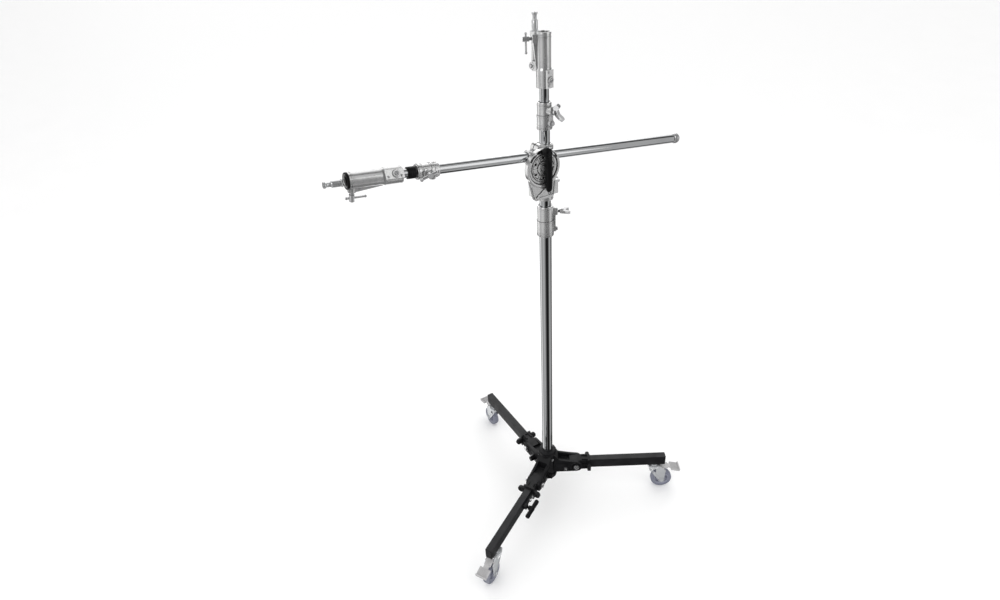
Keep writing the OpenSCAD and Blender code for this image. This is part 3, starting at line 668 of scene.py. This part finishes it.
def build_knob(bm):
    """Fluted lock knob, Z outwards from its skirt."""
    outline = []
    for k in range(96):
        a = 2 * math.pi * k / 96
        r = 9.2 + 0.55 * math.cos(8 * a)
        outline.append((r * math.cos(a), r * math.sin(a)))
    prism(bm, outline, 1, 11.4)
    lathe(bm, [(0, 11), (7.6, 11), (8, 12.6), (6.4, 13.2), (5.6, 12.6), (0, 12.4)], 48)
    lathe(bm, [(0, 0), (7.6, 0), (8.6, 0.6), (8.6, 1.4), (0, 1.4)], 48)


for leg in LEGS:
    base = leg_frame(leg)
    make("arm_ribs_" + leg, "black_cast", "base", build_arm_trim, base, ROUNDED)
    make("sleeve_rims_" + leg, "black_cast", "leg_" + leg, build_sleeve_trim, base, ROUNDED)
    tube_body = "leg_front_tube" if leg == "front" else "leg_" + leg
    make("leg_end_plug_" + leg, "leg_paint", tube_body, build_leg_trim, base, ROUNDED)
    knob_axis = AXIS["fold_knob_turn_" + leg]
    knob_at = AT["fold_knob_turn_" + leg] + knob_axis * (ARM_HALF + 4.3 - 30) * MM
    make("knob_grip_" + leg, "black_plastic", "fold_knob_" + leg, build_knob,
         basis(knob_at, knob_axis, leg_dir(leg)), ROUNDED)
make("socket_lip", "black_cast", "base", build_socket_trim)
make("socket_set_screws", "bright_steel", "base", build_set_screws)
grip_at = AT["levelling_handle_turn"] + AXIS["levelling_handle_turn"] * 5.5 * MM
make("levelling_grip", "black_plastic", "levelling_handle", build_grip,
     basis(grip_at, UP, leg_dir("front")), ROUNDED)


# ---------------------------------------------------------------- column and boom clamps


def node_span(node):
    """Lowest and highest z of a CAD node, in millimetres."""
    low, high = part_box(node)
    return low[2] / MM, high[2] / MM


def collar_trim(low, high, radius, step):
    """Machined lines and lips for a two-tier collar between two heights."""
    def build(bm):
        for z in (low + 1.2, low + 11, high - 7):
            r = radius - (1 if z > low + step else 0)
            ring(bm, [(r - 0.6, z), (r + 0.7, z + 0.5), (r + 0.7, z + 1.5), (r - 0.6, z + 2)], 96)
        ring(bm, [(radius - 5, high), (radius - 4.4, high + 1.2), (radius - 2.2, high + 1.2),
                  (radius - 1.4, high - 0.2), (radius - 5, high - 0.2)], 96)
    return build


def boss_trim(at, out, radius=12, height=2.2):
    """Raised rim round a screw boss whose face is at a point, looking out along a direction."""
    def build(bm):
        ring(bm, [(4.6, -0.4), (4.6, height * 0.6), (5.4, height), (radius - 2.4, height),
                  (radius - 1, height * 0.4), (radius - 0.6, -0.4)], 56, turned(out, (0, 0, 1), at))
    return build


MAIN_LOW, MAIN_HIGH = node_span("main_collar")
UPPER_LOW, UPPER_HIGH = node_span("upper_collar")
MAIN_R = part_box("main_tube")[1][0] / MM
RISER_3_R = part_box("riser_3")[1][0] / MM
# A collar's wall outside its tube, its boss face from the tube, and its screw below the collar's top
COLLAR_WALL = 6
BOSS_OUT = 15
SCREW_DROP = 20
# Height of each collar's narrower upper tier
MAIN_TIER = 46
UPPER_TIER = 34
UPPER_SCREW = AXIS["upper_collar_handle_turn"]

make("main_collar_lines", "cast_alloy", "base",
     collar_trim(MAIN_LOW, MAIN_HIGH, MAIN_R + COLLAR_WALL, MAIN_HIGH - MAIN_LOW - MAIN_TIER))
make("main_collar_boss", "cast_alloy", "base",
     boss_trim((MAIN_R + BOSS_OUT, 0, MAIN_HIGH - SCREW_DROP), (1, 0, 0)))
make("upper_collar_lines", "cast_alloy", "riser_3",
     collar_trim(UPPER_LOW, UPPER_HIGH, RISER_3_R + COLLAR_WALL, UPPER_HIGH - UPPER_LOW - UPPER_TIER))
make("upper_collar_boss", "cast_alloy", "riser_3",
     boss_trim(UPPER_SCREW * (RISER_3_R + BOSS_OUT) + UP * (UPPER_HIGH - SCREW_DROP), UPPER_SCREW))

# ---------------------------------------------------------------- boom head

HEAD_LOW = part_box("head_body")[0][2] / MM
HEAD = basis((0, 0, 0), UP, Vector((AXIS["boom_slide"].x, AXIS["boom_slide"].y, 0)))
PIVOT = HEAD.inverted() @ AT["boom_tilt"] / MM
SOCKET_TOP = PIVOT.z + 36
SOCKET_OUT = 23
# The big disc: radius, its front and back along HEAD's Y, and the circle of its index holes
DISC_R = 52.5
DISC_FACE = -73.0
DISC_BACK = -63.0
HOLES_AT = 28
# From the big disc's back to just behind the saddle's own disc
INDEX_DEPTH = 16.6
# From the big disc's front to the middle of the lever's hub
LEVER_OUT = 14
BOOM_IN_SADDLE = SADDLE.inverted() @ Vector(MOUNT["boom_receiver"]["pos_m"]) / MM


def disc_face():
    """Placement on the front of the head's big disc."""
    return sideways(-1, (PIVOT.x, DISC_FACE, PIVOT.z))


def disc_hole(k):
    """Placement at one of the disc's six index holes."""
    return disc_face() @ spin(60 * k) @ shift(0, HOLES_AT)


def build_disc_trim(bm):
    """Ribs, ring, index marks and a tail web on the head's big disc."""
    face = disc_face()
    ring(bm, [(33.2, -0.5), (33.2, 1.4), (34, 2), (35.6, 2), (36.4, 1.4), (36.4, -0.5)], 96, face)
    r = DISC_R
    rim = [(r - 7.1, -0.5), (r - 6.9, 3), (r - 5.9, 4), (r - 1.5, 4), (r - 0.1, 2.6), (r, -0.5)]
    arc(bm, rim, 150, 388, face)
    for k in range(36):
        box(bm, (36.9, -0.5, -0.4), (40.6 if k % 3 == 0 else 39.2, 0.5, 0.8), face @ spin(10 * k))
    for k in range(6):
        ring(bm, [(3.7, -0.4), (3.7, 0.8), (4.4, 1.2), (5.6, 1.2), (6, 0.6), (6, -0.4)], 36, disc_hole(k))
        box(bm, (19, -1.6, -0.4), (33.6, 1.6, 1.6), face @ spin(60 * k))
    tail = [[(-37.5, -48), (-34.5, -48), (-25, -84), (-28, -84)],
            [(36.5, -46), (39.5, -46), (34.5, -84), (31.5, -84)],
            [(-26, -82), (-22, -86), (27, -49), (23, -44)],
            [(-25, -85.5), (32, -85.5), (33, -82), (-26, -82)]]
    for outline in tail:
        prism(bm, outline, -0.5, 2.2, face)


def build_disc_painted_shade(bm):
    """Painted shade: dark rings beside the disc's raised rings, and dark discs for the shadowed floors of its index
    holes.
    """
    for r in (43.6, 36.3, 31.6, 17.9):
        ring(bm, [(r, -0.3), (r, 0.35), (r + 1.6, 0.35), (r + 1.6, -0.3)], 96, disc_face())
    for k in range(6):
        lathe(bm, [(0, -3), (3.45, -3), (3.45, -1.6), (0, -1.6)], 36, disc_hole(k))


def build_socket_collar(bm):
    """Machined bands and a top lip of the head's socket round the column."""
    r = SOCKET_OUT
    for z in (HEAD_LOW + 1, HEAD_LOW + 62, SOCKET_TOP - 15):
        ring(bm, [(r - 0.6, z), (r + 1.2, z + 0.8), (r + 1.2, z + 3.4), (r - 0.6, z + 4.2)], 96)
    ring(bm, [(16, SOCKET_TOP), (16.4, SOCKET_TOP + 1.4), (20, SOCKET_TOP + 1.4), (22, SOCKET_TOP - 0.2),
              (16, SOCKET_TOP - 0.2)], 96)


def build_head_bolts(bm):
    """Cap screws in the head's bosses and its flange."""
    for side, z in ((1, HEAD_LOW + 18), (-1, HEAD_LOW + 22)):
        cap_screw(bm, 6.4, 5, turned((side, 0, 0), (0, 0, 1), (side * 35.6, 0, z)))
    for x in (-14, 22):
        cap_screw(bm, 4.6, 3, turned((0, -1, 0), (0, 0, 1), (PIVOT.x + x, DISC_FACE + 0.4, PIVOT.z - 76)))


def build_index_ring(bm):
    """Raised rim with ticks on the lower back of the saddle's disc, clear of the boom and the pivot bolt."""
    back = sideways(-1, (0, DISC_BACK - PIVOT.y + INDEX_DEPTH, 0))
    arc(bm, [(24, 0.2), (24, 2), (30.6, 2), (31.4, 0.2)], 188, 352, back)
    for k in range(28):
        box(bm, (30.8, -0.5, 0.4), (32.6, 0.5, 1.9), back @ spin(194 + 5.6 * k))


def build_saddle_trim(bm):
    """Lips on the two ends of the saddle's clamp."""
    along = turned((1, 0, 0), (0, 0, 1), (0, BOOM_IN_SADDLE.y, BOOM_IN_SADDLE.z))
    for x0, x1 in ((-36.8, -32.5), (32.5, 36.8)):
        ring(bm, [(13.3, x0), (19, x0 + 0.4), (19.4, x0 + 1.4), (19.4, x1 - 1.4), (19, x1 - 0.4),
                  (13.3, x1)], 80, along)


def build_lever(bm):
    """Long ratchet lever: domed hub, neck and a swelling grip with a rib down its face."""
    lathe(bm, [(0, -8), (10.5, -8), (12, -6.6), (12.6, -3), (12.6, 3), (12.2, 6.6), (10.4, 9), (8, 10),
               (6.8, 9.2), (5.2, 9.2), (5.2, 11.4), (4.4, 12), (0, 12)], 64, sideways(-1))
    grip = shift(5, 0)
    loft(bm, [(6, -2, -1, 7, 5.4), (-2, -1, -1, 9.4, 5.6), (-14, 0, -1, 9.2, 5.8), (-26, 0, -1, 8.9, 6.2),
              (-40, 0, -1, 9.2, 7.4), (-58, 0, -1, 9.3, 8.2), (-78, 0, -1, 9.2, 8.2), (-94, 0, -1, 8.8, 8),
              (-103, 0, -1, 8, 7.2), (-108, 0, -1, 6.2, 5.6), (-111, 0, -1, 3, 2.6)], 28, grip)
    loft(bm, [(-24, 0, -7.4, 1.2, 0.6), (-30, 0, -8.4, 1.6, 1.2), (-58, 0, -9.4, 1.7, 1.4),
              (-92, 0, -9.2, 1.7, 1.4), (-100, 0, -8.2, 1.2, 0.8)], 12, grip)


def build_lever_screw(bm):
    """Screw and lock nut that pull the saddle's ears together."""
    along = sideways(-1)
    lathe(bm, [(0, -63.4), (3.6, -63.4), (4, -62.8), (4, 4), (0, 4)], 48, along)
    turns = [math.radians(60 * k) for k in range(6)]
    outline = [(8 * math.cos(a), 8 * math.sin(a)) for a in turns]
    prism(bm, outline, -62.7, -58.7, along)
    lathe(bm, [(0, -58.7), (9, -58.7), (9, -57.5), (0, -57.5)], 48, along)


make("disc_relief", "cast_alloy", "head", build_disc_trim, HEAD, ROUNDED)
# Painted shade on the head's disc, in a dark material.
make("disc_painted_shade", "black_plastic", "head", build_disc_painted_shade, HEAD)
make("head_socket_bands", "cast_alloy", "head", build_socket_collar, HEAD)
make("head_cap_screws", "bright_steel", "head", build_head_bolts, HEAD)
make("index_ring", "cast_alloy", "boom_saddle", build_index_ring, SADDLE, ROUNDED)
make("saddle_lips", "cast_alloy", "boom_saddle", build_saddle_trim, SADDLE, ROUNDED)
LEVER_AT = HEAD.inverted() @ AT["clamp_lever_turn"] / MM
LEVER = HEAD @ Matrix.Translation(Vector((LEVER_AT.x, DISC_FACE - LEVER_OUT, LEVER_AT.z)) * MM)
make("lever_grip", "black_plastic", "clamp_lever", build_lever, LEVER, smooth=40,
     stands_for=("clamp_lever",))
make("lever_screw", "bright_steel", "clamp_lever", build_lever_screw, LEVER, ROUNDED)

# ---------------------------------------------------------------- boom

KNOB_L = 27
STOP_GAP = 0.8
BOOM_AXIS = basis(Vector(MOUNT["boom_receiver"]["pos_m"]), AXIS["boom_slide"], UP)


def along_boom(node):
    """Start and end of a node along the boom, in millimetres from the receiver's mount point."""
    inv = BOOM_AXIS.inverted()
    zs = [(inv @ v.co).z / MM for v in NODES[node].data.vertices]
    return min(zs), max(zs)


def build_boom_collar(bm):
    """Machined lines, a lip and grip ribs on the boom's collar."""
    low, high = along_boom("boom_collar")
    for z in (low + 12, low + 32, high - 14):
        ring(bm, [(17.4, z), (19, z + 0.5), (19, z + 2), (17.4, z + 2.6)], 96)
    ring(bm, [(14, high - 0.2), (14.4, high + 1.4), (16.8, high + 1.4), (17.8, high - 0.2)], 96)
    for k in range(12):
        box(bm, (17, -1.4, high - 11), (19.2, 1.4, high - 2), spin(30 * k))


def build_end_plug(bm):
    """Turned knob with a waist, and its spigot inside the boom's rear end."""
    base = along_boom("boom_end_cap")[1] - KNOB_L
    profile = [(0, -18), (11.4, -18), (11.4, 0), (12.4, 0.3), (12.4, 1.2), (9.2, 1.6), (9, 4.6), (12.6, 6.2),
               (14.6, 8.6), (15, 10), (14.5, 11), (14.5, 13), (15.3, 14), (15.3, 16.4), (14.4, 20), (11, 24.5),
               (6, 26.7), (0, KNOB_L)]
    lathe(bm, [(r, base + z) for r, z in profile], 72)


def build_stop_ring(bm):
    """Grooved stop ring on the extension, cut short by a gap so it stays clear of the collar."""
    low, high = along_boom("extension_bush")
    high -= STOP_GAP
    profile = [(11.02, low), (13.4, low), (14.4, low + 0.8)]
    for z in (low + 5, high - 5):
        profile += [(14.6, z - 1), (13.8, z - 0.4), (13.8, z + 0.4), (14.6, z + 1)]
    profile += [(14.4, high - 0.8), (13.4, high), (11.02, high)]
    ring(bm, profile, 96)


make("boom_collar_lines", "cast_alloy", "boom", build_boom_collar, BOOM_AXIS, ROUNDED)
make("end_plug", "bright_steel", "boom", build_end_plug, BOOM_AXIS, ROUNDED, stands_for=("boom_end_cap",))
make("stop_ring", "black_plastic", "extension", build_stop_ring, BOOM_AXIS, stands_for=("extension_bush",))

# ---------------------------------------------------------------- combo receivers

SOCKET_R = MOUNT["top_receiver"]["dims"]["r_mm"]
BODY_L = 133.0
# Hinge of the flip-out arm, the baby pin's axis, and the turn of the pinch screw about the socket
FLIP_X, FLIP_Z = 38, -84
PIN_X = 32
SCREW_SIDE = spin(55)


def build_receiver_trim(bm):
    """Mouth lip, machined lines, pinch lug lines and boss rim of a receiver."""
    ring(bm, [(SOCKET_R + 0.4, -0.3), (SOCKET_R + 0.7, 1.3), (SOCKET_R + 1.3, 1.7), (16.3, 1.4),
              (16.3, -0.4)], 96)
    r = 21
    for z in (-91, -131.4):
        ring(bm, [(r - 0.6, z), (r + 0.4, z + 0.4), (r + 0.4, z + 1.4), (r - 0.6, z + 1.8)], 96)
    nose = SCREW_SIDE @ turned((1, 0, 0), (0, 0, 1), (28, 0, -13))
    ring(bm, [(4.4, -0.4), (4.4, 1.2), (5.2, 2), (8.6, 2), (10, 1), (10.3, -0.4)], 56, nose)
    foot = turned((-1, 0, 0), (0, 0, 1), (-27, 0, -BODY_L + 20))
    ring(bm, [(4.9, -0.4), (4.9, 0.6), (5.6, 1.2), (7.8, 1.2), (8.6, 0.6), (8.9, -0.4)], 48, foot)
    for side in (-1, 1):
        ring(bm, [(5, -0.4), (5, 0.8), (6, 1.4), (8.6, 1.4), (9.6, 0.6), (9.6, -0.4)], 48,
             sideways(side, (FLIP_X, side * 8, FLIP_Z)))


def build_mouth_ring(bm):
    """Rim that caps a receiver's mouth."""
    ring(bm, [(16.3, -0.5), (16.3, 1.9), (17, 2.5), (18.8, 2.3), (19.6, 1.3), (19.8, -3.4), (18.8, -3.6)], 96)


def build_receiver_painted_shade(bm):
    """Painted shade: a dark sleeve and floor inside the socket, where shade falls."""
    ring(bm, [(SOCKET_R - 0.2, -3), (SOCKET_R - 0.2, -94), (SOCKET_R + 0.2, -94), (SOCKET_R + 0.2, -3)], 96)
    lathe(bm, [(0, -99), (SOCKET_R - 0.3, -99), (SOCKET_R - 0.3, -96), (0, -96)], 64)


def build_receiver_bolts(bm):
    """Cap screw and rivets at a receiver's foot, and the hinge pin's heads."""
    foot = turned((-1, 0, 0), (0, 0, 1), (-26.8, 0, -BODY_L + 20))
    cap_screw(bm, 4.6, 2.8, foot)
    for z in (-BODY_L + 7, -BODY_L + 40):
        rivet = turned((-1, 0, 0), (0, 1, 0), (-24, 6, z))
        lathe(bm, [(0, 1.8), (1.8, 1.5), (2.8, 0.8), (3.2, 0), (0, -0.4)], 40, rivet)
    for side in (-1, 1):
        lathe(bm, [(0, 1.8), (2.2, 1.6), (3.6, 0.8), (4.2, -0.6), (0, -0.8)], 40,
              sideways(side, (FLIP_X, side * 10.6, FLIP_Z)))


def build_flip_arm(bm):
    """Cast arm with a waist and a rounded block that carries the baby pin."""
    side = sideways(-1)
    arm = [(34.6, -87), (41.6, -87), (44, -82), (43.4, -56), (42.6, -40), (43.6, -20), (43.6, -2), (41, 1.6),
           (24.6, 1.6), (22.8, -1), (22.8, -18), (25.4, -21.6), (34, -23), (35.6, -40), (35.4, -56),
           (33.4, -80)]
    prism(bm, arm, -3.9, 3.9, side)
    block = [(23.4, -18.6), (26, -21.2), (41, -21.2), (43.3, -18.6), (43.3, -1.4), (41, 1.4), (25.6, 1.4),
             (23.4, -1)]
    prism(bm, block, -8, 8, side)
    hinge = sideways(-1, (FLIP_X, 0, FLIP_Z))
    lathe(bm, [(0, -4.1), (7, -4.1), (7, 4.1), (0, 4.1)], 48, hinge)
    lathe(bm, [(0, -10.6), (3, -10.6), (3, 10.6), (0, 10.6)], 32, hinge)


def build_baby_pin(bm):
    """Stepped pin with chamfers, a neck and a bored end."""
    lathe(bm, [(0, 0), (9.4, 0), (9.4, 2.4), (8.6, 3.2), (7.95, 3.4), (7.95, 25), (7.4, 26), (6, 27.4),
               (5.6, 29), (5.6, 37), (6.2, 38.8), (7.2, 39.8), (7.6, 40.4), (7.6, 44), (7, 45), (3.4, 45), (3, 44.2),
               (2.8, 41), (0, 40.4)], 64, shift(PIN_X, 0))


for which, body in (("top", "riser_4"), ("boom", "extension")):
    local = receiver_frame(which)
    make(which + "_receiver_lines", "cast_alloy", body, build_receiver_trim, local, ROUNDED)
    # Painted shade inside the socket, in a dark material.
    make(which + "_receiver_painted_shade", "black_plastic", body, build_receiver_painted_shade, local, ROUNDED)
    make(which + "_receiver_bolts", "bright_steel", body, build_receiver_bolts, local, ROUNDED)
    make(which + "_flip_arm", "cast_alloy", which + "_flip_pin", build_flip_arm, local, ROUNDED,
         stands_for=(which + "_flip_pin",))
    make(which + "_baby_pin", "pin_steel", which + "_flip_pin", build_baby_pin, local)

make("boom_mouth_ring", "black_plastic", "extension", build_mouth_ring, receiver_frame("boom"), ROUNDED)
make("top_mouth_lip", "cast_alloy", "riser_4", build_mouth_ring, receiver_frame("top"), ROUNDED)

# ---------------------------------------------------------------- studio


def area_light(name, at, target, size, power):
    """Rectangular lamp that looks at a target."""
    data = bpy.data.lights.new(name, "AREA")
    data.shape = "RECTANGLE"
    data.size, data.size_y = size
    data.energy = power
    lamp = bpy.data.objects.new(name, data)
    aim = (Vector(target) - Vector(at)).to_track_quat("-Z", "Y")
    lamp.matrix_world = Matrix.Translation(at) @ aim.to_matrix().to_4x4()
    bpy.context.scene.collection.objects.link(lamp)


# Brightness of the room the metal mirrors, by turn from -Y through -X, +Y and +X back to -Y
PANELS = ((0.0, 0.03), (0.05, 0.25), (0.1, 0.48), (0.16, 0.42), (0.23, 0.3), (0.27, 0.75), (0.31, 0.95),
          (0.345, 0.6), (0.36, 0.04), (0.4, 0.04), (0.42, 1.2), (0.5, 1.0), (0.6, 0.5), (0.67, 0.03),
          (0.71, 0.03), (0.75, 0.42), (0.83, 0.4), (0.87, 0.03), (0.95, 0.005), (1.0, 0.03))
# The same by height, from straight down to straight up
DOMES = ((0.0, 0.05), (0.05, 0.08), (0.1, 1.0), (0.9, 1.0), (0.96, 0.25), (1.0, 0.15))
FLOOR_HALF = 40
WASH = 1.06


def make_studio():
    """White floor that stays out of the metal's reflections, three soft lamps and the world."""
    mesh = bpy.data.meshes.new("floor")
    half = FLOOR_HALF
    corners = [(-half, -half, 0), (half, -half, 0), (half, half, 0), (-half, half, 0)]
    mesh.from_pydata(corners, [], [(0, 1, 2, 3)])
    floor = bpy.data.objects.new("floor", mesh)
    floor.location.z = -0.0005
    mesh.materials.append(MAT["floor"])
    bpy.context.scene.collection.objects.link(floor)
    floor.visible_glossy = False
    area_light("key", (-2.2, -2.6, 3.4), (0, 0, 0.8), (2.0, 2.0), 16)
    area_light("fill", (2.8, -1.6, 2.2), (0, 0, 0.8), (1.6, 2.6), 7)
    area_light("back", (0.6, 3.0, 2.8), (0, 0, 0.9), (2.4, 1.6), 10)
    make_world()
    bpy.context.scene.view_settings.view_transform = "Standard"


def bands(tree, value, reach, levels):
    """Grey ramp over a value that runs from -reach to reach."""
    spread = tree.nodes.new("ShaderNodeMapRange")
    spread.inputs["From Min"].default_value = -reach
    spread.inputs["From Max"].default_value = reach
    tree.links.new(value, spread.inputs["Value"])
    ramp = tree.nodes.new("ShaderNodeValToRGB")
    first, last = ramp.color_ramp.elements
    first.position, first.color = levels[0][0], (levels[0][1],) * 3 + (1,)
    last.position, last.color = levels[-1][0], (levels[-1][1],) * 3 + (1,)
    for position, level in levels[1:-1]:
        ramp.color_ramp.elements.new(position).color = (level,) * 3 + (1,)
    tree.links.new(spread.outputs[0], ramp.inputs["Fac"])
    return ramp.outputs["Color"]


def make_world():
    """White to the eye, soft grey for light, and a room of pale and dark panels for the metal to mirror."""
    world = bpy.data.worlds.new("studio")
    bpy.context.scene.world = world
    world.use_nodes = True
    tree = world.node_tree
    link = tree.links.new
    backdrop = tree.nodes["Background"]
    backdrop.inputs["Color"].default_value = (1, 1, 1, 1)
    backdrop.inputs["Strength"].default_value = 1.0
    wash = tree.nodes.new("ShaderNodeBackground")
    wash.inputs["Color"].default_value = (1, 1, 1, 1)
    wash.inputs["Strength"].default_value = WASH
    room = tree.nodes.new("ShaderNodeBackground")
    coord = tree.nodes.new("ShaderNodeTexCoord")
    split = tree.nodes.new("ShaderNodeSeparateXYZ")
    link(coord.outputs["Generated"], split.inputs[0])
    angle = tree.nodes.new("ShaderNodeMath")
    angle.operation = "ARCTAN2"
    link(split.outputs["X"], angle.inputs[0])
    link(split.outputs["Y"], angle.inputs[1])
    both = tree.nodes.new("ShaderNodeMath")
    both.operation = "MULTIPLY"
    link(bands(tree, angle.outputs[0], math.pi, PANELS), both.inputs[0])
    link(bands(tree, split.outputs["Z"], 1.0, DOMES), both.inputs[1])
    link(both.outputs[0], room.inputs["Color"])
    path = tree.nodes.new("ShaderNodeLightPath")
    lit = tree.nodes.new("ShaderNodeMixShader")
    link(path.outputs["Is Glossy Ray"], lit.inputs[0])
    link(wash.outputs[0], lit.inputs[1])
    link(room.outputs[0], lit.inputs[2])
    seen = tree.nodes.new("ShaderNodeMixShader")
    link(path.outputs["Is Camera Ray"], seen.inputs[0])
    link(lit.outputs[0], seen.inputs[1])
    link(backdrop.outputs[0], seen.inputs[2])
    link(seen.outputs[0], tree.nodes["World Output"].inputs["Surface"])


make_studio()
